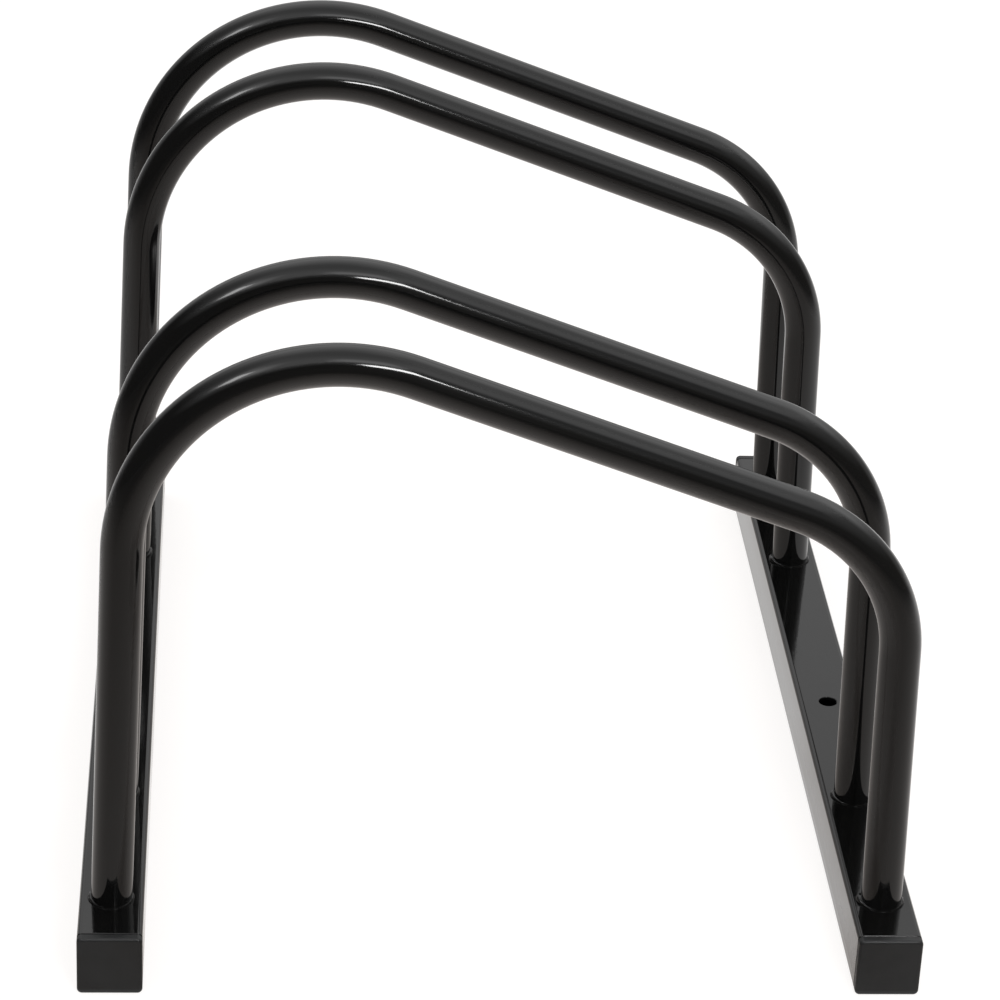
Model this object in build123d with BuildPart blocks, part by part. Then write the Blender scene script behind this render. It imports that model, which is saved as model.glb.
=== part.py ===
from build123d import *
import os
from math import cos, hypot, radians, sin, tan

# Floor rack for two bicycles. Two square rails lie on the floor and carry two pairs of bent hoops.
# A wheel stands between the two hoops of a pair.
# X runs across the rack, from the high side to the low side. Y runs along the rails. Z is up.
# The origin is on the floor, under the middle of the rack.

# Rails: square steel tube
rail_size = 25.0
rail_wall = 1.5
rail_corner = 2.0
rail_inner_corner = 0.5
rail_length = 407.0
rail_spacing = 300.0
rail_end_round = 0.5

# Anchor holes, one through each rail
anchor_hole = 7.5
anchor_from_front = 177.5
anchor_rim_round = 0.5

# Hoops: round steel tube, bent at a high shoulder and at a low one
tube_diameter = 16.0
tube_wall = 1.2
hoop_height = 262.0
high_bend = 79.0
low_bend = 65.0
bar_slope = 20.0
leg_lean = 1.6

# Places of the hoops along the rails
end_overhang = 24.5
wheel_gap = 61.0

# Weld beads round the feet of the legs
weld_size = 1.6
weld_depth = 1.5
weld_clearance = 0.05

# End caps: a flange over the rail's end, and a hollow plug with ribs that grip the rail's walls
cap_flange = 4.0
cap_edge = 1.2
cap_back_edge = 0.8
plug_length = 16.0
plug_wall = 1.8
plug_corner = 1.0
rib_height = 1.2
rib_thickness = 1.2
rib_pitch = 4.0
rib_from_flange = 3.0
rib_count = 3
rib_clearance = 0.1

# Worked-out sizes and places
front_end = -rail_length / 2
rail_bore = rail_size - 2 * rail_wall
rib_size = rail_bore - 2 * rib_clearance
plug_size = rib_size - 2 * rib_height
plug_bore = plug_size - 2 * plug_wall
tube_radius = tube_diameter / 2
anchor_y = front_end + anchor_from_front
outer_y = front_end + end_overhang
inner_y = outer_y + tube_diameter + wheel_gap
lean = tan(radians(leg_lean))
slope = tan(radians(bar_slope))

# Each side: the middle of its rail, and how far its legs lean towards +X for each millimetre up
sides = {
    "high": (-rail_spacing / 2, lean),
    "low": (rail_spacing / 2, -lean),
}
hoop_places = {
    "front_outer": outer_y,
    "front_inner": inner_y,
    "rear_inner": -inner_y,
    "rear_outer": -outer_y,
}
rail_ends = {
    "front": -1,
    "rear": 1,
}


def leg_point(side, z):
    """The point of a leg's centre line at a height, in the plane of its hoop."""
    foot_x, tilt = sides[side]
    return (foot_x + (z - rail_size) * tilt, z)


def bar_end(side):
    """The point where the sloping bar's centre line meets the centre line of a leg."""
    bend_z = hoop_height - tube_radius - high_bend
    bend_x = leg_point("high", bend_z)[0] + high_bend / cos(radians(leg_lean))
    bar_x = bend_x + high_bend * sin(radians(bar_slope))
    bar_z = bend_z + high_bend * cos(radians(bar_slope))
    foot_x, tilt = sides[side]
    z = (bar_z - slope * (foot_x - tilt * rail_size - bar_x)) / (1 + slope * tilt)
    return leg_point(side, z)


def make_rail(name, side):
    """A rail: a square tube with an anchor hole through its top and bottom walls."""
    x = sides[side][0]
    with BuildPart() as rail:
        with BuildSketch(Plane.XZ.offset(-front_end)):
            with Locations((x, rail_size / 2)):
                RectangleRounded(rail_size, rail_size, rail_corner)
        extrude(amount=-rail_length)
        end_faces = rail.faces().filter_by(Axis.Y)
        fillet(end_faces.edges(), rail_end_round)
        with BuildSketch(Plane.XZ.offset(-front_end)):
            with Locations((x, rail_size / 2)):
                RectangleRounded(rail_bore, rail_bore, rail_inner_corner)
        extrude(amount=-rail_length, mode=Mode.SUBTRACT)
        with Locations((x, anchor_y, rail_size)):
            Hole(anchor_hole / 2)
        top_face = rail.faces().filter_by(Axis.Z).sort_by(Axis.Z)[-1]
        fillet(top_face.edges().filter_by(GeomType.CIRCLE), anchor_rim_round)
    rail.part.label = name
    export_step(rail.part, f"parts/{name}.step")


def make_hoop(name, y):
    """A hoop: one round tube bent at both shoulders, with its feet cut flat on the rails."""
    foot_cut = rail_size - tube_diameter
    with BuildPart() as hoop:
        with BuildLine(Plane.XZ.offset(-y)) as path:
            FilletPolyline(
                leg_point("high", foot_cut),
                bar_end("high"),
                bar_end("low"),
                leg_point("low", foot_cut),
                radius=(high_bend, low_bend),
            )
        with BuildSketch(Plane(origin=path.line @ 0, z_dir=path.line % 0)):
            Circle(tube_radius)
            Circle(tube_radius - tube_wall, mode=Mode.SUBTRACT)
        sweep(path=path.line)
        split(bisect_by=Plane.XY.offset(rail_size), keep=Keep.TOP)
    hoop.part.label = name
    export_step(hoop.part, f"parts/{name}.step")


def make_weld(name, side, y):
    """A weld bead: a ring with a rounded face, in the corner between a leg and its rail."""
    x, tilt = sides[side]
    with BuildPart() as weld:
        with BuildSketch(Plane.XZ.offset(-y)):
            with Locations((x + tube_radius - weld_depth, rail_size - weld_depth)):
                Circle(hypot(weld_size + weld_depth, weld_depth))
        revolve(axis=Axis((x, y, rail_size), (0, 0, 1)))
        split(bisect_by=Plane.XY.offset(rail_size), keep=Keep.TOP)
        with BuildSketch(Plane(origin=(x, y, rail_size), z_dir=(tilt, 0, 1))):
            Circle(tube_radius + weld_clearance)
        extrude(amount=tube_diameter, both=True, mode=Mode.SUBTRACT)
    weld.part.label = name
    export_step(weld.part, f"parts/{name}.step")


def make_cap(name, side, end):
    """An end cap, moulded in one piece: the flange outside, the ribbed plug inside the rail."""
    x = sides[side][0]
    mouth = Plane(origin=(x, end * rail_length / 2, rail_size / 2), x_dir=(1, 0, 0), z_dir=(0, end, 0))
    outward = Axis(mouth.origin, mouth.z_dir)
    with BuildPart() as cap:
        with BuildSketch(mouth):
            RectangleRounded(rail_size, rail_size, rail_corner)
        extrude(amount=cap_flange)
        fillet(cap.faces().sort_by(outward)[-1].edges(), cap_edge)
        fillet(cap.faces().sort_by(outward)[0].edges(), cap_back_edge)
        with BuildSketch(mouth):
            RectangleRounded(plug_size, plug_size, plug_corner)
        extrude(amount=-plug_length)
        for rib in range(rib_count):
            with BuildSketch(mouth.offset(-rib_from_flange - rib * rib_pitch)):
                RectangleRounded(rib_size, rib_size, rail_inner_corner)
            extrude(amount=-rib_thickness)
        with BuildSketch(mouth):
            RectangleRounded(plug_bore, plug_bore, plug_corner)
        extrude(amount=-plug_length, mode=Mode.SUBTRACT)
    cap.part.label = name
    export_step(cap.part, f"parts/{name}.step")


os.makedirs("parts", exist_ok=True)

for side in sides:
    make_rail(f"{side}_side_rail", side)
    for end_name, end in rail_ends.items():
        make_cap(f"cap_{end_name}_{side}", side, end)

for place, y in hoop_places.items():
    make_hoop(f"{place}_hoop", y)
    for side in sides:
        make_weld(f"weld_{place}_{side}", side, y)
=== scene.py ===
"""The looks of a floor rack for two bicycles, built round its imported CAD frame.

Two square rails lie on the floor, four bent tube hoops are welded to them, and a plastic cap closes each
rail end. X runs across the rack from the high side to the low side, Y along the rails, Z up. Lengths are
in metres.
"""

from __future__ import annotations

import logging
import math
from dataclasses import dataclass, field
from enum import Enum

import bmesh
import bpy
from mathutils import Matrix, Quaternion, Vector


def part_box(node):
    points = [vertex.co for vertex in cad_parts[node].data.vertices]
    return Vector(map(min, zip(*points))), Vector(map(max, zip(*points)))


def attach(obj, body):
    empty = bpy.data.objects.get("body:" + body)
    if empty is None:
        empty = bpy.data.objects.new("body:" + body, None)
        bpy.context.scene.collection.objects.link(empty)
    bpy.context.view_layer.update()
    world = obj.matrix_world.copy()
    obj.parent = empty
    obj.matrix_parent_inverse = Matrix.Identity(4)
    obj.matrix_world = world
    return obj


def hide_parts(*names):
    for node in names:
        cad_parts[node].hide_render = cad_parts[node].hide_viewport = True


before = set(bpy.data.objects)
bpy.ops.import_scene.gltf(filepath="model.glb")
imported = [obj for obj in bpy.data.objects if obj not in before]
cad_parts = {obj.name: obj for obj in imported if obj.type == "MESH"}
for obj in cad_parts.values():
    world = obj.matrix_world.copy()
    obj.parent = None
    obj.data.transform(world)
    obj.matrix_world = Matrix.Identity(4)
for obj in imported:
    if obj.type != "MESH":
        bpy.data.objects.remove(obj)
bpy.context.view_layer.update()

log = logging.getLogger("bike_rack")

Colour = tuple[float, float, float]
Point = tuple[float, float, float]
Range = tuple[float, float]
Station = tuple[Vector, Vector]
Column = list[tuple[Vector, float]]
WHITE: Colour = (1.0, 1.0, 1.0)
BODY = "root"


class Side(Enum):
    """The two long sides of the rack, by the height of the hoops' shoulders there."""

    HIGH = "high"
    LOW = "low"

    @property
    def rail(self) -> str:
        """The name of this side's rail."""
        return f"{self.value}_side_rail"

    @property
    def inward(self) -> int:
        """The way along X from this side to the middle of the rack."""
        return 1 if self is Side.HIGH else -1


class End(Enum):
    """The two ends of a rail. The front is the end nearer the photograph's viewpoint."""

    FRONT = "front"
    REAR = "rear"


class Place(Enum):
    """The places of the four hoops along the rails, from front to rear."""

    FRONT_OUTER = "front_outer"
    FRONT_INNER = "front_inner"
    REAR_INNER = "rear_inner"
    REAR_OUTER = "rear_outer"

    @property
    def hoop(self) -> str:
        """The name of the hoop that stands here."""
        return f"{self.value}_hoop"


class NodeGraph:
    """Short calls for adding and joining the nodes of one tree."""

    column_step: float = 180.0

    def __init__(self, tree: bpy.types.NodeTree) -> None:
        """Takes the tree of a material, a world or a group, and empties it."""
        self.tree = tree
        tree.nodes.clear()

    def feed(self, socket: bpy.types.NodeSocket, value: object) -> None:
        """Gives an input socket a link or a plain value.

        Args:
            socket: The input socket.
            value: An output socket to link from, or a value to set.
        """
        if isinstance(value, bpy.types.NodeSocket):
            self.tree.links.new(value, socket)
        else:
            socket.default_value = value

    def add(self, kind: str, inputs: dict[str | int, object] | None = None,
            **settings: object) -> bpy.types.Node:
        """Adds a node.

        Args:
            kind: The node's type name.
            inputs: What its input sockets get, by socket name or number.
            settings: Its own properties, which are set before the sockets.

        Returns:
            The new node.
        """
        node = self.tree.nodes.new(kind)
        node.location = (self.column_step * len(self.tree.nodes), 0.0)
        for name, value in settings.items():
            setattr(node, name, value)
        for key, value in (inputs or {}).items():
            self.feed(node.inputs[key], value)
        return node

    def group(self, tree: bpy.types.NodeTree, output: str, **inputs: object) -> bpy.types.NodeSocket:
        """Places a node group with its own values, and gives one of its outputs."""
        values = {name.replace("_", " ").title(): value for name, value in inputs.items()}
        return self.add("ShaderNodeGroup", values, node_tree=tree).outputs[output]

    def math(self, operation: str, first: object, second: object) -> bpy.types.NodeSocket:
        """Adds a Math node for two sockets or numbers, and gives its output."""
        return self.add("ShaderNodeMath", {0: first, 1: second}, operation=operation).outputs[0]

    def ramp(self, value: object, low: object, high: object, to_low: object = 0.0,
             to_high: object = 1.0) -> bpy.types.NodeSocket:
        """Adds a smooth Map Range node from low and high to to_low and to_high, and gives its output."""
        inputs = {"Value": value, "From Min": low, "From Max": high, "To Min": to_low, "To Max": to_high}
        return self.add("ShaderNodeMapRange", inputs, interpolation_type="SMOOTHSTEP").outputs["Result"]

    def mix_colour(self, share: object, first: object, second: object) -> bpy.types.NodeSocket:
        """Adds a Mix node for two colours, and gives the mixture with that share of the second."""
        # A Mix node's colour sockets have the same names as its other sockets, so they go by number.
        return self.add("ShaderNodeMix", {0: share, 6: first, 7: second}, data_type="RGBA").outputs[2]

    def noise(self, scale: object, detail: float, place: object | None = None) -> bpy.types.NodeSocket:
        """Adds a Noise Texture in the rack's own frame.

        Args:
            scale: The number of noise cells in a metre.
            detail: The number of finer layers.
            place: The coordinates, or None for the plain ones.

        Returns:
            The noise value.
        """
        where = place or self.add("ShaderNodeTexCoord").outputs["Object"]
        inputs = {"Vector": where, "Scale": scale, "Detail": detail}
        return self.add("ShaderNodeTexNoise", inputs).outputs["Fac"]


def rgba(colour: Colour) -> tuple[float, float, float, float]:
    """The colour with full alpha."""
    return (*colour, 1.0)


def grey(level: float) -> Colour:
    """The colour with three equal parts."""
    return (level, level, level)


def new_material(name: str) -> tuple[bpy.types.Material, NodeGraph]:
    """Starts a material.

    Args:
        name: The material's name.

    Returns:
        The material, and the graph to build it in.
    """
    made = bpy.data.materials.new(name)
    made.use_nodes = True
    return made, NodeGraph(made.node_tree)


@dataclass
class SurfaceEffects:
    """The shader node groups that the finishes share. Each is built once and placed with its own values."""

    finer_waves: float = 3.3
    cloud_range: Range = (0.3, 0.7)
    shelf_range: Range = (0.35, 0.95)
    speck_range: Range = (0.62, 0.74)
    film_scale: float = 0.03
    film_range: Range = (0.35, 0.7)
    film_share: Range = (0.1, 0.45)
    line_stretch: Point = (1.0, 0.03, 1.0)
    line_turn: Point = (0.05, 0.0, 0.12)
    line_range: Range = (0.66, 0.72)
    handled_scale: float = 35.0
    handled_range: Range = (0.45, 0.65)
    orange_peel: bpy.types.NodeTree = field(init=False)
    slow_change: bpy.types.NodeTree = field(init=False)
    settled_dust: bpy.types.NodeTree = field(init=False)
    hair_lines: bpy.types.NodeTree = field(init=False)

    def __post_init__(self) -> None:
        """Builds the groups."""
        self.orange_peel = self._build_orange_peel()
        self.slow_change = self._build_slow_change()
        self.settled_dust = self._build_settled_dust()
        self.hair_lines = self._build_hair_lines()

    @staticmethod
    def _new_group(name: str, inputs: tuple[str, ...],
                   output: str) -> tuple[NodeGraph, bpy.types.Node, bpy.types.NodeSocket]:
        """Starts a node group with number sockets.

        Args:
            name: The group's name.
            inputs: The names of its inputs.
            output: The name of its output.

        Returns:
            The graph to build in, the group's input node, and the socket to feed the result to.
        """
        tree = bpy.data.node_groups.new(name, "ShaderNodeTree")
        for label in inputs:
            tree.interface.new_socket(name=label, in_out="INPUT", socket_type="NodeSocketFloat")
        tree.interface.new_socket(name=output, in_out="OUTPUT", socket_type="NodeSocketFloat")
        graph = NodeGraph(tree)
        start = graph.add("NodeGroupInput")
        end = graph.add("NodeGroupOutput")
        return graph, start, end.inputs[output]

    def _build_orange_peel(self) -> bpy.types.NodeTree:
        """Builds the soft waves of a baked powder coat.

        Returns:
            A group that takes the wave's size and the share of finer waves, and puts out a height.
        """
        graph, start, result = self._new_group("orange_peel", ("Wave", "Fine Share"), "Height")
        broad_scale = graph.math("DIVIDE", 1.0, start.outputs["Wave"])
        broad = graph.noise(broad_scale, detail=1.0)
        fine = graph.noise(graph.math("MULTIPLY", broad_scale, self.finer_waves), detail=0.0)
        fine_part = graph.math("MULTIPLY", fine, start.outputs["Fine Share"])
        graph.feed(result, graph.math("ADD", broad, fine_part))
        return graph.tree

    def _build_slow_change(self) -> bpy.types.NodeTree:
        """Builds a value that drifts slowly over a surface, for gloss that isn't even.

        Returns:
            A group that takes a patch size and two limits, and puts out a value between them.
        """
        graph, start, result = self._new_group("slow_change", ("Patch", "Low", "High"), "Value")
        cloud = graph.noise(graph.math("DIVIDE", 1.0, start.outputs["Patch"]), detail=3.0)
        graph.feed(result, graph.ramp(cloud, *self.cloud_range, start.outputs["Low"], start.outputs["High"]))
        return graph.tree

    def _build_settled_dust(self) -> bpy.types.NodeTree:
        """Builds a thin film of dust, with single specks in it, on the faces that look up.

        Returns:
            A group that takes the film's amount and a speck's size, and puts out a mask.
        """
        graph, start, result = self._new_group("settled_dust", ("Amount", "Speck"), "Mask")
        normal = graph.add("ShaderNodeNewGeometry").outputs["Normal"]
        up = graph.add("ShaderNodeSeparateXYZ", {"Vector": normal}).outputs["Z"]
        shelf = graph.ramp(up, *self.shelf_range)
        speck_scale = graph.math("DIVIDE", 1.0, start.outputs["Speck"])
        specks = graph.ramp(graph.noise(speck_scale, detail=2.0), *self.speck_range)
        cloud = graph.noise(graph.math("MULTIPLY", speck_scale, self.film_scale), detail=3.0)
        film = graph.ramp(cloud, *self.film_range, *self.film_share)
        share = graph.math("MULTIPLY", shelf, graph.math("ADD", specks, film))
        graph.feed(result, graph.math("MULTIPLY", share, start.outputs["Amount"]))
        return graph.tree

    def _build_hair_lines(self) -> bpy.types.NodeTree:
        """Builds faint hair lines that handling leaves in a surface, mostly along the rails.

        Returns:
            A group that takes the lines' amount and spacing, and puts out a mask.
        """
        graph, start, result = self._new_group("hair_lines", ("Amount", "Spacing"), "Mask")
        place = graph.add("ShaderNodeTexCoord").outputs["Object"]
        drawn_out = graph.add("ShaderNodeMapping", {"Vector": place, "Scale": self.line_stretch,
                                                    "Rotation": self.line_turn})
        scale = graph.math("DIVIDE", 1.0, start.outputs["Spacing"])
        streaks = graph.noise(scale, detail=2.0, place=drawn_out.outputs["Vector"])
        lines = graph.ramp(streaks, *self.line_range)
        handled = graph.ramp(graph.noise(self.handled_scale, detail=1.0), *self.handled_range)
        mask = graph.math("MULTIPLY", lines, handled)
        graph.feed(result, graph.math("MULTIPLY", mask, start.outputs["Amount"]))
        return graph.tree


@dataclass(frozen=True)
class Finish:
    """A finish whose gloss drifts over the surface, with a little dust and a few hair lines."""

    name: str
    effects: SurfaceEffects
    colour: Colour = (0.0026, 0.0026, 0.0026)
    dust_colour: Colour = (0.085, 0.08, 0.074)
    index: float = 1.43
    gloss_low: float = 0.05
    gloss_high: float = 0.08
    patch: float = 0.03
    dust: float = 0.02
    speck: float = 0.0005
    lines: float = 0.06
    line_spacing: float = 0.0009

    def body(self, graph: NodeGraph) -> object:
        """The colour under the dust."""
        return rgba(self.colour)

    def relief(self, graph: NodeGraph) -> tuple[bpy.types.NodeSocket, float]:
        """The pattern of the surface's relief, and the relief's height."""
        raise NotImplementedError

    def dulling(self, graph: NodeGraph, dust: bpy.types.NodeSocket,
                lines: bpy.types.NodeSocket) -> bpy.types.NodeSocket:
        """The roughness that comes on top of the gloss: here, that of the hair lines."""
        return lines

    def material(self) -> bpy.types.Material:
        """Builds the material.

        Returns:
            The new material.
        """
        made, graph = new_material(self.name)
        effects = self.effects
        dust = graph.group(effects.settled_dust, "Mask", amount=self.dust, speck=self.speck)
        lines = graph.group(effects.hair_lines, "Mask", amount=self.lines, spacing=self.line_spacing)
        gloss = graph.group(effects.slow_change, "Value", patch=self.patch, low=self.gloss_low,
                            high=self.gloss_high)
        pattern, height = self.relief(graph)
        bump = graph.add("ShaderNodeBump", {"Height": pattern, "Distance": height, "Strength": 1.0})
        shader = graph.add("ShaderNodeBsdfPrincipled", {
            "Base Color": graph.mix_colour(dust, self.body(graph), rgba(self.dust_colour)),
            "Roughness": graph.math("ADD", gloss, self.dulling(graph, dust, lines)),
            "IOR": self.index,
            "Normal": bump.outputs["Normal"],
        })
        graph.add("ShaderNodeOutputMaterial", {"Surface": shader.outputs["BSDF"]})
        return made


@dataclass(frozen=True)
class GlossCoat(Finish):
    """Gloss black powder coat on steel."""

    peel_wave: float = 0.0024
    peel_height: float = 14e-6
    peel_fine: float = 0.2

    def relief(self, graph: NodeGraph) -> tuple[bpy.types.NodeSocket, float]:
        """The orange peel of the baked coat, and its height."""
        peel = graph.group(self.effects.orange_peel, "Height", wave=self.peel_wave, fine_share=self.peel_fine)
        return peel, self.peel_height

    def dulling(self, graph: NodeGraph, dust: bpy.types.NodeSocket,
                lines: bpy.types.NodeSocket) -> bpy.types.NodeSocket:
        """The roughness of the dust and the hair lines."""
        return graph.math("ADD", dust, lines)


@dataclass(frozen=True)
class GrainedPlastic(Finish):
    """Black moulded plastic with a fine matt grain."""

    colour: Colour = (0.0028, 0.0034, 0.0039)
    gloss_low: float = 0.42
    gloss_high: float = 0.52
    patch: float = 0.012
    dust: float = 0.06
    lines: float = 0.08
    line_spacing: float = 0.0008
    flow_colour: Colour = (0.0046, 0.0054, 0.006)
    flow_scale: float = 60.0
    flow_range: Range = (0.35, 0.65)
    grain: float = 0.00035
    grain_height: float = 9e-6

    def body(self, graph: NodeGraph) -> object:
        """The colour, which drifts with the plastic's flow in the mould."""
        flow = graph.ramp(graph.noise(self.flow_scale, detail=2.0), *self.flow_range)
        return graph.mix_colour(flow, rgba(self.colour), rgba(self.flow_colour))

    def relief(self, graph: NodeGraph) -> tuple[bpy.types.NodeSocket, float]:
        """The grain of the mould, and its height."""
        return graph.noise(1.0 / self.grain, detail=2.0), self.grain_height


def add_object(name: str, data: bpy.types.ID) -> bpy.types.Object:
    """Adds an object to the scene.

    Args:
        name: The object's name.
        data: Its mesh, lamp or camera.

    Returns:
        The new object.
    """
    made = bpy.data.objects.new(name, data)
    bpy.context.scene.collection.objects.link(made)
    return made


def dress(piece: bpy.types.Object, finish: bpy.types.Material) -> None:
    """Gives a piece one finish all over."""
    piece.data.materials.clear()
    piece.data.materials.append(finish)


def closed_skin(name: str, rings: list[list[Vector]], sharp_above: float) -> bpy.types.Object:
    """Builds a closed mesh from rings of points, joined each to the next and the last to the first.

    Args:
        name: The piece's name.
        rings: The rings, all with the same number of points.
        sharp_above: The angle between faces, in radians, above which an edge is sharp.

    Returns:
        The new object, in the scene.
    """
    mesh = bpy.data.meshes.new(name)
    work = bmesh.new()
    rows = [[work.verts.new(point) for point in ring] for ring in rings]
    for row, following in zip(rows, rows[1:] + rows[:1]):
        for corners in zip(row, row[1:] + row[:1], following[1:] + following[:1], following):
            work.faces.new(corners).smooth = True
    bmesh.ops.recalc_face_normals(work, faces=work.faces)
    work.to_mesh(mesh)
    work.free()
    mesh.set_sharp_from_angle(angle=sharp_above)
    return add_object(name, mesh)


@dataclass
class Rails:
    """The two square rails, which are the CAD nodes with their coat."""

    finish: bpy.types.Material

    def build(self) -> list[bpy.types.Object]:
        """Dresses the rails.

        Returns:
            The rails' objects.
        """
        made = [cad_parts[side.rail] for side in Side]
        for rail in made:
            dress(rail, self.finish)
        return made


@dataclass
class Hoops:
    """The four bent hoops of round tube, with a larger bend at the high shoulder than at the low one."""

    finish: bpy.types.Material
    wall: float = 0.0012
    high_bend: float = 0.079
    low_bend: float = 0.065
    bar_slope: float = math.radians(20.0)
    leg_lean: float = math.radians(1.6)
    sides: int = 64
    bend_step: float = math.radians(2.5)
    run_step: float = 0.012
    sharp_above: float = math.radians(40.0)
    tube_radius: float = field(init=False)
    top: float = field(init=False)
    rail_top: float = field(init=False)

    def __post_init__(self) -> None:
        """Reads the tube's radius, the hoops' top and the rails' top from the frame."""
        low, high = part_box(Place.FRONT_OUTER.hoop)
        self.tube_radius = (high.y - low.y) / 2
        self.top = high.z
        self.rail_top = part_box(Side.HIGH.rail)[1].z

    def foot(self, side: Side) -> Vector:
        """The point where a leg's centre line meets the rail's top, as X and Z in the hoop's plane."""
        low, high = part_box(side.rail)
        return Vector(((low.x + high.x) / 2, self.rail_top))

    @staticmethod
    def place_along(place: Place) -> float:
        """The place of a hoop along the rails."""
        low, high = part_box(place.hoop)
        return (low.y + high.y) / 2

    def leg_way(self, side: Side) -> Vector:
        """The unit direction up a leg, which leans inward."""
        return Vector((side.inward * math.sin(self.leg_lean), math.cos(self.leg_lean)))

    def corner(self, side: Side) -> Vector:
        """The point where a leg's centre line meets the sloping bar's, with no bend between them.

        Args:
            side: The leg's side.

        Returns:
            The corner, in the hoop's plane.
        """
        middle_z = self.top - self.tube_radius - self.high_bend
        foot, up = self.foot(Side.HIGH), self.leg_way(Side.HIGH)
        leg_x = foot.x + up.x / up.y * (middle_z - foot.y)
        middle = Vector((leg_x + self.high_bend / math.cos(self.leg_lean), middle_z))
        bar = Vector((math.cos(self.bar_slope), -math.sin(self.bar_slope)))
        on_bar = middle + self.high_bend * Vector((-bar.y, bar.x))
        foot, up = self.foot(side), self.leg_way(side)
        along = (on_bar - foot).cross(bar) / up.cross(bar)
        return foot + along * up

    def run(self, start: Vector, end: Vector) -> list[Station]:
        """Stations along a straight run, without its end.

        Args:
            start: Where it starts.
            end: Where it ends.

        Returns:
            Pairs of a point and the direction there.
        """
        count = max(1, round((end - start).length / self.run_step))
        way = (end - start).normalized()
        return [(start.lerp(end, step / count), way) for step in range(count)]

    def bend(self, way_in: Vector, corner: Vector, way_out: Vector, radius: float) -> list[Station]:
        """Stations round a bend, with both its ends.

        Args:
            way_in: The direction before the bend.
            corner: The corner that it rounds.
            way_out: The direction after the bend.
            radius: The bend's radius.

        Returns:
            Pairs of a point and the direction there.
        """
        turn = way_in.angle(way_out)
        start = corner - way_in * radius * math.tan(turn / 2)
        inside = (way_out - way_in * way_in.dot(way_out)).normalized()
        centre = start + inside * radius
        count = math.ceil(turn / self.bend_step)
        stations = []
        for step in range(count + 1):
            angle = turn * step / count
            point = centre + radius * (way_in * math.sin(angle) - inside * math.cos(angle))
            stations.append((point, way_in * math.cos(angle) + inside * math.sin(angle)))
        return stations

    def centre_line(self) -> list[Station]:
        """The stations of a hoop's centre line, from the high foot to the low foot.

        Returns:
            Pairs of a point and the direction there, in the hoop's plane.
        """
        up, down = self.leg_way(Side.HIGH), -self.leg_way(Side.LOW)
        high, low = self.corner(Side.HIGH), self.corner(Side.LOW)
        bar = (low - high).normalized()
        first = self.bend(up, high, bar, self.high_bend)
        second = self.bend(bar, low, down, self.low_bend)
        stations = self.run(self.foot(Side.HIGH), first[0][0]) + first
        stations += self.run(first[-1][0], second[0][0])[1:] + second
        stations += self.run(second[-1][0], self.foot(Side.LOW))[1:]
        return stations + [(self.foot(Side.LOW), down)]

    def ring(self, station: Station, y: float, radius: float, cut: bool) -> list[Vector]:
        """A ring of points round the centre line.

        Args:
            station: The point and the direction there.
            y: The hoop's place along the rails.
            radius: The ring's radius.
            cut: Whether the ring is cut flat at the rails' top.

        Returns:
            The ring's points.
        """
        centre, way = station
        outward = Vector((-way.y, way.x))
        points = []
        for step in range(self.sides):
            angle = math.tau * step / self.sides
            flat = centre + outward * radius * math.cos(angle)
            if cut:
                flat += way * ((self.rail_top - flat.y) / way.y)
            points.append(Vector((flat.x, y + radius * math.sin(angle), flat.y)))
        return points

    def build(self) -> list[bpy.types.Object]:
        """Builds the hoops in place of the CAD nodes.

        Returns:
            The hoops' objects.
        """
        line = self.centre_line()
        cuts = [index in (0, len(line) - 1) for index in range(len(line))]
        inside = self.tube_radius - self.wall
        made = []
        for place in Place:
            y = self.place_along(place)
            skin = [self.ring(station, y, self.tube_radius, cut) for station, cut in zip(line, cuts)]
            bore = [self.ring(station, y, inside, cut) for station, cut in zip(line, cuts)]
            piece = closed_skin(f"{place.value}_bent_hoop", skin + bore[::-1], self.sharp_above)
            dress(piece, self.finish)
            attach(piece, BODY)
            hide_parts(place.hoop)
            made.append(piece)
        return made


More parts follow.
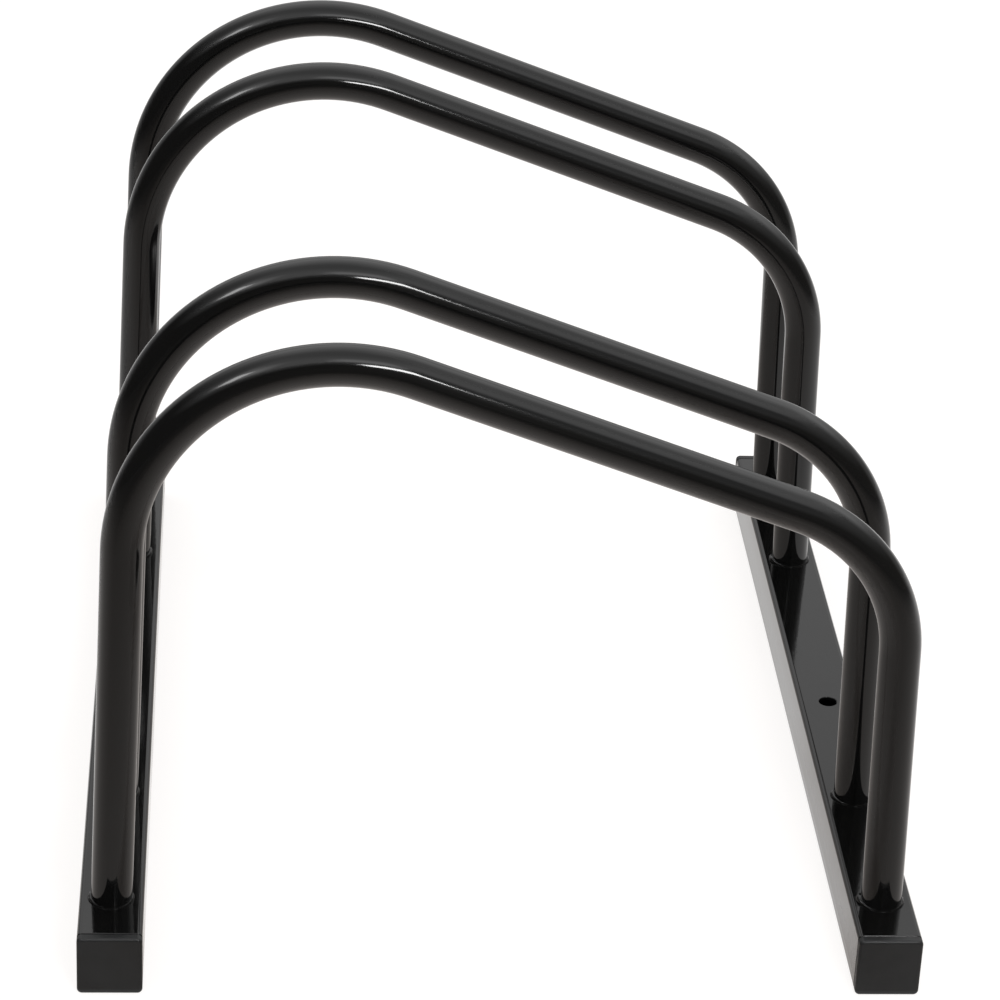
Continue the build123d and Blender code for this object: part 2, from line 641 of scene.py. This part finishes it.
@dataclass
class Welds:
    """The weld beads round the feet of the legs.

    Each is a rippled ring that is full at both sides of its leg, a little fuller on one of them, and runs out
    in front and behind.
    """

    finish: bpy.types.Material
    hoops: Hoops
    reach: float = 0.0013
    thin_reach: float = 0.00012
    lopsided: float = 0.0004
    height: float = 0.0018
    thin_height: float = 0.0005
    gather: int = 6
    crown: float = 0.00045
    sunk: float = 0.0004
    uneven: float = 0.0005
    slow_waves: int = 2
    slow_share: float = 0.6
    quick_waves: int = 5
    quick_share: float = 0.4
    quick_shift: float = 2.3
    ripples: int = 21
    ripple_height: float = 0.00008
    ripple_lean: float = 0.55
    drift_waves: int = 3
    drift: float = 0.5
    lap_height: float = 0.00012
    lap_width: float = 0.22
    hoop_phase: float = 1.9
    side_phase: float = 0.8
    around: int = 126
    across: int = 10
    sharp_above: float = math.radians(60.0)

    def wander(self, angle: float, phase: float) -> float:
        """The bead's unevenness at an angle round the leg, from -1 to 1."""
        slow = self.slow_share * math.sin(self.slow_waves * angle + phase)
        return slow + self.quick_share * math.sin(self.quick_waves * angle - self.quick_shift * phase)

    def swell(self, angle: float, phase: float) -> float:
        """How far a full bead swells out, with its ripples and the lap where its ends meet.

        Args:
            angle: The angle round the leg, in radians.
            phase: A shift that makes each bead differ.

        Returns:
            The height of the swelling above the straight line across the bead.
        """
        beat = self.ripples * angle + self.drift * math.sin(self.drift_waves * angle + phase)
        ripple = math.sin(beat + self.ripple_lean * math.sin(beat))
        from_lap = (angle - phase + math.pi) % math.tau - math.pi
        lap = self.lap_height * math.exp(-((from_lap / self.lap_width) ** 2))
        return self.crown + self.ripple_height * ripple + lap

    def section(self, angle: float, phase: float) -> list[tuple[float, float]]:
        """The bead's section at an angle round the leg.

        Args:
            angle: The angle round the leg, in radians.
            phase: A shift that makes each bead differ.

        Returns:
            Pairs of the distance out from the leg and the height above the rail.
        """
        full = math.cos(angle) ** self.gather
        lack = self.uneven * self.wander(angle, phase)
        most = self.reach - self.lopsided * math.cos(angle)
        reach = self.thin_reach + (most - self.thin_reach - lack) * full
        height = self.thin_height + (self.height - self.thin_height - lack) * full
        crown = self.swell(angle, phase) * reach / self.reach
        points = [(-self.sunk, -self.sunk), (reach, -self.sunk)]
        for step in range(self.across + 1):
            share = step / self.across
            bulge = crown * math.sin(math.pi * share) / math.sqrt(2)
            points.append((reach * (1 - share) + bulge, height * share + bulge))
        return points + [(-self.sunk, height)]

    def rings(self, side: Side, y: float, phase: float) -> list[list[Vector]]:
        """The bead's sections all the way round a leg.

        Args:
            side: The leg's side.
            y: The hoop's place along the rails.
            phase: A shift that makes each bead differ.

        Returns:
            The rings of points that the bead's skin joins.
        """
        foot, up = self.hoops.foot(side), self.hoops.leg_way(side)
        made = []
        for step in range(self.around):
            angle = math.tau * step / self.around
            ring = []
            for out, above in self.section(angle, phase):
                radius = self.hoops.tube_radius + out
                x = foot.x + above * up.x / up.y + radius * math.cos(angle)
                ring.append(Vector((x, y + radius * math.sin(angle), foot.y + above)))
            made.append(ring)
        return made

    def build(self) -> list[bpy.types.Object]:
        """Builds the beads in place of the CAD nodes.

        Returns:
            The beads' objects.
        """
        made = []
        for number, place in enumerate(Place):
            y = self.hoops.place_along(place)
            for side in Side:
                phase = self.hoop_phase * number + self.side_phase * side.inward
                rings = self.rings(side, y, phase)
                piece = closed_skin(f"{place.value}_{side.value}_bead", rings, self.sharp_above)
                dress(piece, self.finish)
                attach(piece, BODY)
                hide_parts(f"weld_{place.value}_{side.value}")
                made.append(piece)
        return made


@dataclass
class Caps:
    """The plastic caps in the rail ends, which are the CAD nodes with their plastic."""

    finish: bpy.types.Material

    def build(self) -> list[bpy.types.Object]:
        """Dresses the caps.

        Returns:
            The caps' objects.
        """
        made = [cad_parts[f"cap_{end.value}_{side.value}"] for end in End for side in Side]
        for cap in made:
            dress(cap, self.finish)
        return made


def heading(azimuth: float, elevation: float, distance: float) -> Vector:
    """A point seen from the rack's middle on the floor.

    Args:
        azimuth: Degrees from +Y towards +X.
        elevation: Degrees above the floor.
        distance: How far away it is.

    Returns:
        The point.
    """
    turn, rise = math.radians(azimuth), math.radians(elevation)
    flat = math.cos(rise)
    return Vector((math.sin(turn) * flat, math.cos(turn) * flat, math.sin(rise))) * distance


@dataclass(frozen=True)
class Softbox:
    """A soft lamp with a flat front that faces the hoops' bars."""

    name: str
    place: Point
    width: float
    height: float
    radiance: float
    roll: float = 0.0
    aim: Point = (-0.05, -0.1, 0.25)

    def build(self) -> bpy.types.Object:
        """Adds the lamp.

        Returns:
            The lamp's object.
        """
        lamp = bpy.data.lights.new(self.name, "AREA")
        lamp.shape = "RECTANGLE"
        lamp.size = self.width
        lamp.size_y = self.height
        lamp.energy = self.radiance * math.pi * self.width * self.height
        made = add_object(self.name, lamp)
        made.location = self.place
        made.rotation_mode = "QUATERNION"
        facing = (Vector(self.place) - Vector(self.aim)).to_track_quat("Z", "Y")
        made.rotation_quaternion = facing @ Quaternion((0.0, 0.0, 1.0), math.radians(self.roll))
        made.visible_camera = False
        return made


@dataclass(frozen=True)
class Screen:
    """A screen that only reflections see: its even glow paints a dark or bright reflection into the gloss and
    lights nothing else. It is clear where its cover is low.
    """

    name: str
    colour: Colour

    def columns(self) -> list[Column]:
        """The columns of the screen's mesh, each of points with the screen's cover there."""
        raise NotImplementedError

    def share(self, graph: NodeGraph, cover: bpy.types.NodeSocket) -> bpy.types.NodeSocket:
        """The share of the screen's colour, which is its cover."""
        return cover

    def clear_colour(self, graph: NodeGraph, cover: bpy.types.NodeSocket) -> object:
        """The colour of what shows through the screen, which is left as it is."""
        return rgba(WHITE)

    def build(self) -> bpy.types.Object:
        """Builds the screen.

        Returns:
            The screen's object.
        """
        columns = self.columns()
        points = [point for column in columns for point, _ in column]
        covers = [cover for column in columns for _, cover in column]
        height = len(columns[0])
        starts = [column * height + row for column in range(len(columns) - 1) for row in range(height - 1)]
        faces = [(start, start + 1, start + height + 1, start + height) for start in starts]
        mesh = bpy.data.meshes.new(self.name)
        mesh.from_pydata(points, [], faces)
        mesh.attributes.new("cover", "FLOAT", "POINT").data.foreach_set("value", covers)
        made = add_object(self.name, mesh)
        dress(made, self.material())
        made.visible_camera = False
        made.visible_diffuse = False
        made.visible_shadow = False
        made.visible_transmission = False
        made.visible_volume_scatter = False
        return made

    def material(self) -> bpy.types.Material:
        """Builds the screen's even colour, a glow that paints the reflection, clear where its cover is low.

        Returns:
            The new material.
        """
        made, graph = new_material(self.name)
        cover = graph.add("ShaderNodeAttribute", attribute_name="cover").outputs["Fac"]
        clear = graph.add("ShaderNodeBsdfTransparent", {"Color": self.clear_colour(graph, cover)})
        # Painted reflection: an emission that only glossy rays see, not a lamp.
        painted_reflection = graph.add("ShaderNodeEmission", {"Color": rgba(self.colour), "Strength": 1.0})
        mixed = graph.add("ShaderNodeMixShader", {0: self.share(graph, cover), 1: clear.outputs["BSDF"],
                                                  2: painted_reflection.outputs["Emission"]})
        graph.add("ShaderNodeOutputMaterial", {"Surface": mixed.outputs["Shader"]})
        return made


def faded(inside: float, fade: float) -> float:
    """A share that grows from 0 at an edge to 1 at a distance inside it."""
    return max(0.0, min(1.0, inside / fade))


def band(value: float, low: float, high: float, fade: float) -> float:
    """A share that is 0 at the two ends of a band and grows to 1 at a distance inside them."""
    return faded(min(value - low, high - value), fade)


def evenly(low: float, high: float, step: float) -> list[float]:
    """Values from low to high, no further apart than a step."""
    count = math.ceil((high - low) / step)
    return [low + (high - low) * number / count for number in range(count + 1)]


@dataclass(frozen=True)
class WallScreen(Screen):
    """A screen that stands round the rack as part of a dome. Azimuths and elevations are in degrees."""

    from_azimuth: float
    to_azimuth: float
    side_fade: float
    top: float
    top_fade: float
    bottom: float = -2.0
    bottom_fade: float = 2.0
    distance: float = 2.6
    step: float = 3.0

    def columns(self) -> list[Column]:
        """The columns of the wall, each from its bottom to its top.

        Returns:
            For each column its points, each with the screen's cover there.
        """
        made = []
        for azimuth in evenly(self.from_azimuth, self.to_azimuth, self.step):
            side = band(azimuth, self.from_azimuth, self.to_azimuth, self.side_fade)
            column = []
            for elevation in evenly(self.bottom, self.top, self.step):
                rise = faded(elevation - self.bottom, self.bottom_fade)
                rise *= faded(self.top - elevation, self.top_fade)
                column.append((heading(azimuth, elevation, self.distance), side * rise))
            made.append(column)
        return made


@dataclass(frozen=True)
class FloorScreen(Screen):
    """A screen on the floor that paints shade and a dark sheen into the floor's reflection in the gloss. Its
    share grows towards flat angles, as a polished floor's sheen would.
    """

    # A painted warm tone of the reflected floor where the screen covers.
    tint: Colour = (1.0, 0.93, 0.885)
    even: float = 0.0
    lift: float = 0.002
    sheen_blend: float = 0.7

    def share(self, graph: NodeGraph, cover: bpy.types.NodeSocket) -> bpy.types.NodeSocket:
        """The share of the screen's colour.

        Args:
            graph: The graph of the screen's material.
            cover: The screen's cover.

        Returns:
            The share, which is the cover at a flat angle and the even part of it from straight above.
        """
        facing = graph.add("ShaderNodeLayerWeight", {"Blend": self.sheen_blend}).outputs["Facing"]
        sheen = graph.math("ADD", graph.math("MULTIPLY", facing, 1.0 - self.even), self.even)
        return graph.math("MINIMUM", graph.math("MULTIPLY", sheen, cover), 1.0)

    def clear_colour(self, graph: NodeGraph, cover: bpy.types.NodeSocket) -> object:
        """The colour of what shows through: white where the screen is clear, and where it covers its tint,
        which paints a warm tone onto the reflected floor.
        """
        return graph.mix_colour(graph.math("MINIMUM", cover, 1.0), rgba(WHITE), rgba(self.tint))


@dataclass(frozen=True)
class FloorFan(FloorScreen):
    """A floor screen that spreads out from the rack. Azimuths are in degrees."""

    from_azimuth: float = 87.0
    to_azimuth: float = 290.0
    side_fade: float = 70.0
    near: float = 0.2
    far: float = 2.7
    near_fade: float = 0.04
    near_cover: float = 0.62
    far_cover: float = 1.05
    growth: float = 0.3
    count: int = 40
    crowding: float = 2.5
    step: float = 3.0

    def columns(self) -> list[Column]:
        """The columns of the fan, each from near to far, with its points crowded at the near end.

        Returns:
            For each column its points, each with the screen's cover there.
        """
        made = []
        for azimuth in evenly(self.from_azimuth, self.to_azimuth, self.step):
            side = band(azimuth, self.from_azimuth, self.to_azimuth, self.side_fade)
            column = []
            for row in range(self.count + 1):
                reach = self.near + (self.far - self.near) * (row / self.count) ** self.crowding
                still_near = math.exp((self.near - reach) / self.growth)
                cover = self.far_cover + (self.near_cover - self.far_cover) * still_near
                point = heading(azimuth, 0.0, reach) + Vector((0.0, 0.0, self.lift))
                column.append((point, side * cover * faded(reach - self.near, self.near_fade)))
            made.append(column)
        return made


@dataclass(frozen=True)
class FloorPatch(FloorScreen):
    """A floor screen over a rectangle, with its edges faded."""

    low: Range = (-0.14, -0.24)
    high: Range = (0.135, 0.34)
    strength: float = 0.68
    fade: float = 0.02
    step: float = 0.01

    def columns(self) -> list[Column]:
        """The columns of the patch, each along the rails.

        Returns:
            For each column its points, each with the screen's cover there.
        """
        made = []
        for x in evenly(self.low[0], self.high[0], self.step):
            side = band(x, self.low[0], self.high[0], self.fade)
            column = []
            for y in evenly(self.low[1], self.high[1], self.step):
                end = band(y, self.low[1], self.high[1], self.fade)
                column.append((Vector((x, y, self.lift)), self.strength * side * end))
            made.append(column)
        return made


@dataclass
class Studio:
    """A white floor under soft white light, glowing screens that paint what the gloss reflects, and the
    camera.
    """

    floor_size: float = 24.0
    floor_colour: Colour = (0.8, 0.79, 0.785)
    floor_glow: Colour = (0.8, 0.785, 0.775)
    floor_shade: float = 0.35
    sky: float = 1.0
    camera_place: Point = (-0.106375, -1.386556, 0.828282)
    camera_yaw: float = math.radians(4.684)
    camera_pitch: float = math.radians(27.411)
    camera_roll: float = math.radians(2.825)
    camera_lens: float = 133.857
    sensor: float = 36.0

    def build_floor(self) -> bpy.types.Object:
        """Builds the floor.

        Returns:
            The floor's object.
        """
        half = self.floor_size / 2
        corners = [(-half, -half, 0.0), (half, -half, 0.0), (half, half, 0.0), (-half, half, 0.0)]
        mesh = bpy.data.meshes.new("floor")
        mesh.from_pydata(corners, [], [(0, 1, 2, 3)])
        made = add_object("floor", mesh)
        dress(made, self.floor_material())
        return made

    def floor_material(self) -> bpy.types.Material:
        """Builds a matt floor that reads as white to the eye and in reflections, with a faint shadow.

        Returns:
            The new material.
        """
        made, graph = new_material("floor_paper")
        path = graph.add("ShaderNodeLightPath")
        seen = graph.math("MAXIMUM", path.outputs["Is Camera Ray"], path.outputs["Is Glossy Ray"])
        seen = graph.math("MAXIMUM", seen, path.outputs["Is Transmission Ray"])
        matt = graph.add("ShaderNodeBsdfDiffuse", {"Color": rgba(self.floor_colour)})
        shade_colour = tuple(self.floor_shade * part for part in self.floor_colour)
        shade = graph.add("ShaderNodeBsdfDiffuse", {"Color": rgba(shade_colour)})
        glow = graph.add("ShaderNodeEmission", {"Color": rgba(self.floor_glow), "Strength": 1.0})
        white = graph.add("ShaderNodeAddShader", {0: shade.outputs["BSDF"], 1: glow.outputs["Emission"]})
        mixed = graph.add("ShaderNodeMixShader", {0: seen, 1: matt.outputs["BSDF"],
                                                  2: white.outputs["Shader"]})
        graph.add("ShaderNodeOutputMaterial", {"Surface": mixed.outputs["Shader"]})
        return made

    def build_world(self) -> None:
        """Makes the surroundings plain white."""
        world = bpy.data.worlds.new("studio_white")
        world.use_nodes = True
        graph = NodeGraph(world.node_tree)
        white = graph.add("ShaderNodeBackground", {"Color": rgba(WHITE), "Strength": self.sky})
        graph.add("ShaderNodeOutputWorld", {"Surface": white.outputs["Background"]})
        bpy.context.scene.world = world

    def build_camera(self) -> bpy.types.Object:
        """Sets the camera at the photograph's viewpoint.

        Returns:
            The camera's object.
        """
        lens = bpy.data.cameras.new("viewpoint")
        lens.lens = self.camera_lens
        lens.sensor_width = self.sensor
        made = add_object("viewpoint", lens)
        turn = Matrix.Rotation(-self.camera_yaw, 4, "Z")
        tilt = Matrix.Rotation(math.pi / 2 - self.camera_pitch, 4, "X")
        roll = Matrix.Rotation(self.camera_roll, 4, "Z")
        made.matrix_world = Matrix.Translation(Vector(self.camera_place)) @ turn @ tilt @ roll
        bpy.context.scene.camera = made
        return made

    @staticmethod
    def wall_screens() -> tuple[WallScreen, ...]:
        """The screens that stand round the rack. The bright ones paint glows and highlights into the
        reflections, and the dark ones paint dark there. Where two overlap, the nearer one is in front.

        Returns:
            The screens. Azimuth 0 is straight behind the rack, and 180 in front of it.
        """
        return (
            WallScreen("left_dark_screen", grey(0.07), from_azimuth=236.0, to_azimuth=332.0, side_fade=36.0,
                       top=69.0, top_fade=40.0),
            WallScreen("back_dark_screen", (0.075, 0.072, 0.068), from_azimuth=155.0, to_azimuth=300.0,
                       side_fade=22.0, top=42.0, top_fade=14.0, distance=2.55),
            WallScreen("right_dark_screen", (0.155, 0.147, 0.135), from_azimuth=48.0, to_azimuth=204.0,
                       side_fade=40.0, top=46.0, top_fade=34.0, distance=2.5),
            WallScreen("side_bright_screen", grey(1.9), from_azimuth=30.0, to_azimuth=98.0, side_fade=28.0,
                       bottom=20.0, top=48.0, bottom_fade=12.0, top_fade=8.0, distance=2.4),
            WallScreen("gap_dark_screen", grey(0.42), from_azimuth=128.0, to_azimuth=160.0, side_fade=10.0,
                       bottom=22.0, top=50.0, bottom_fade=8.0, top_fade=8.0, distance=2.45),
            WallScreen("far_grey_screen", grey(0.5), from_azimuth=-85.0, to_azimuth=75.0, side_fade=15.0,
                       bottom=-3.0, top=20.0, top_fade=12.0),
            WallScreen("high_bright_screen", grey(1.66), from_azimuth=-78.0, to_azimuth=108.0, side_fade=45.0,
                       bottom=35.0, top=90.0, bottom_fade=8.0, top_fade=25.0, distance=2.8),
            WallScreen("back_bright_screen", grey(1.45), from_azimuth=75.0, to_azimuth=262.0, side_fade=18.0,
                       bottom=36.0, top=74.0, bottom_fade=8.0, top_fade=18.0, distance=2.9),
            # Painted highlights: glows that the gloss shows as bright soft highlights on the bends and bars.
            WallScreen("left_glow_screen", grey(3.2), from_azimuth=208.0, to_azimuth=250.0, side_fade=10.0,
                       bottom=37.0, top=60.0, bottom_fade=8.0, top_fade=12.0, distance=2.7),
            WallScreen("camera_glow_screen", grey(3.3), from_azimuth=148.0, to_azimuth=188.0, side_fade=9.0,
                       bottom=39.0, top=58.0, bottom_fade=6.0, top_fade=10.0, distance=2.75),
            # Painted highlights: the grey and bright streaks along the tops of the bars.
            WallScreen("streak_grey_screen", grey(1.22), from_azimuth=46.0, to_azimuth=104.0, side_fade=16.0,
                       bottom=51.0, top=75.0, bottom_fade=5.0, top_fade=9.0, distance=2.38),
            WallScreen("streak_bright_screen", grey(1.62), from_azimuth=102.0, to_azimuth=152.0,
                       side_fade=9.0, bottom=48.0, top=62.0, bottom_fade=5.0, top_fade=7.0, distance=2.36),
        )

    @staticmethod
    def floor_screens() -> tuple[FloorScreen, ...]:
        """The screens that lie on the floor. They paint shade into the floor's reflection in front of the
        rack, between the rails and under the low side, and make it darker further out. Where two overlap, the
        higher one is in front.

        Returns:
            The screens.
        """
        return (
            # Painted shade of the floor round the front of the rack, as the gloss reflects it.
            FloorFan("floor_dark_screen", (0.12, 0.105, 0.09)),
            FloorFan("far_floor_screen", grey(0.6), tint=WHITE, lift=0.004, from_azimuth=-85.0,
                     to_azimuth=75.0, side_fade=15.0, near=0.25, near_cover=0.0, far_cover=1.1, growth=1.0),
            FloorFan("outer_floor_screen", (0.11, 0.105, 0.1), tint=WHITE, even=1.0, lift=0.006,
                     from_azimuth=66.0, to_azimuth=312.0, side_fade=18.0, near=0.7, near_cover=0.0,
                     far_cover=1.0, growth=0.48),
            FloorFan("left_floor_screen", grey(0.1), tint=WHITE, even=1.0, lift=0.007, from_azimuth=262.0,
                     to_azimuth=345.0, side_fade=25.0, near_cover=0.27, far_cover=0.27),
            # Painted shade of the floor between the rails, as the gloss reflects it.
            FloorPatch("inner_floor_shade_screen", (0.1, 0.09, 0.08), lift=0.003),
            # Painted shadow under the low side, as the gloss reflects it.
            FloorPatch("low_shade_screen", (0.1, 0.09, 0.08), even=1.0, lift=0.005, low=(0.05, -0.4),
                       high=(0.16, 0.0), strength=0.25, fade=0.05),
        )

    @staticmethod
    def lamps() -> tuple[Softbox, ...]:
        """The two soft lamps."""
        return (
            Softbox("left_softbox", (-0.93, -0.77, 1.26), width=0.28, height=0.28, radiance=7.0),
            Softbox("strip_softbox", (0.228, -1.036, 0.785), width=0.346, height=0.12, radiance=33.0,
                    roll=14.0),
        )

    def build(self) -> list[bpy.types.Object]:
        """Builds the floor, the surroundings, the screens, the lamps and the camera.

        Returns:
            The objects of the studio.
        """
        bpy.context.scene.view_settings.view_transform = "Standard"
        self.build_world()
        items = self.wall_screens() + self.floor_screens() + self.lamps()
        return [self.build_floor(), *(item.build() for item in items), self.build_camera()]


def main() -> None:
    """Builds the rack's sub-assemblies and the studio in order, and reports each piece."""
    logging.basicConfig(level=logging.INFO, format="%(name)s: %(message)s")
    effects = SurfaceEffects()
    rail_coat = GlossCoat("rail_gloss_coat", effects).material()
    hoop_coat = GlossCoat("hoop_gloss_coat", effects, gloss_low=0.07, gloss_high=0.1, peel_wave=0.003,
                          peel_height=7e-6, dust=0.01, lines=0.02).material()
    weld_coat = GlossCoat("weld_gloss_coat", effects, gloss_low=0.1, gloss_high=0.16, peel_wave=0.0015,
                          peel_height=2e-5).material()
    cap_plastic = GrainedPlastic("cap_grained_plastic", effects).material()
    hoops = Hoops(hoop_coat)
    for assembly in (Rails(rail_coat), hoops, Welds(weld_coat, hoops), Caps(cap_plastic)):
        for piece in assembly.build():
            log.info("%s: %s, %d faces", type(assembly).__name__, piece.name, len(piece.data.polygons))
    for item in Studio().build():
        log.info("Studio: %s", item.name)


if __name__ == "__main__":
    main()
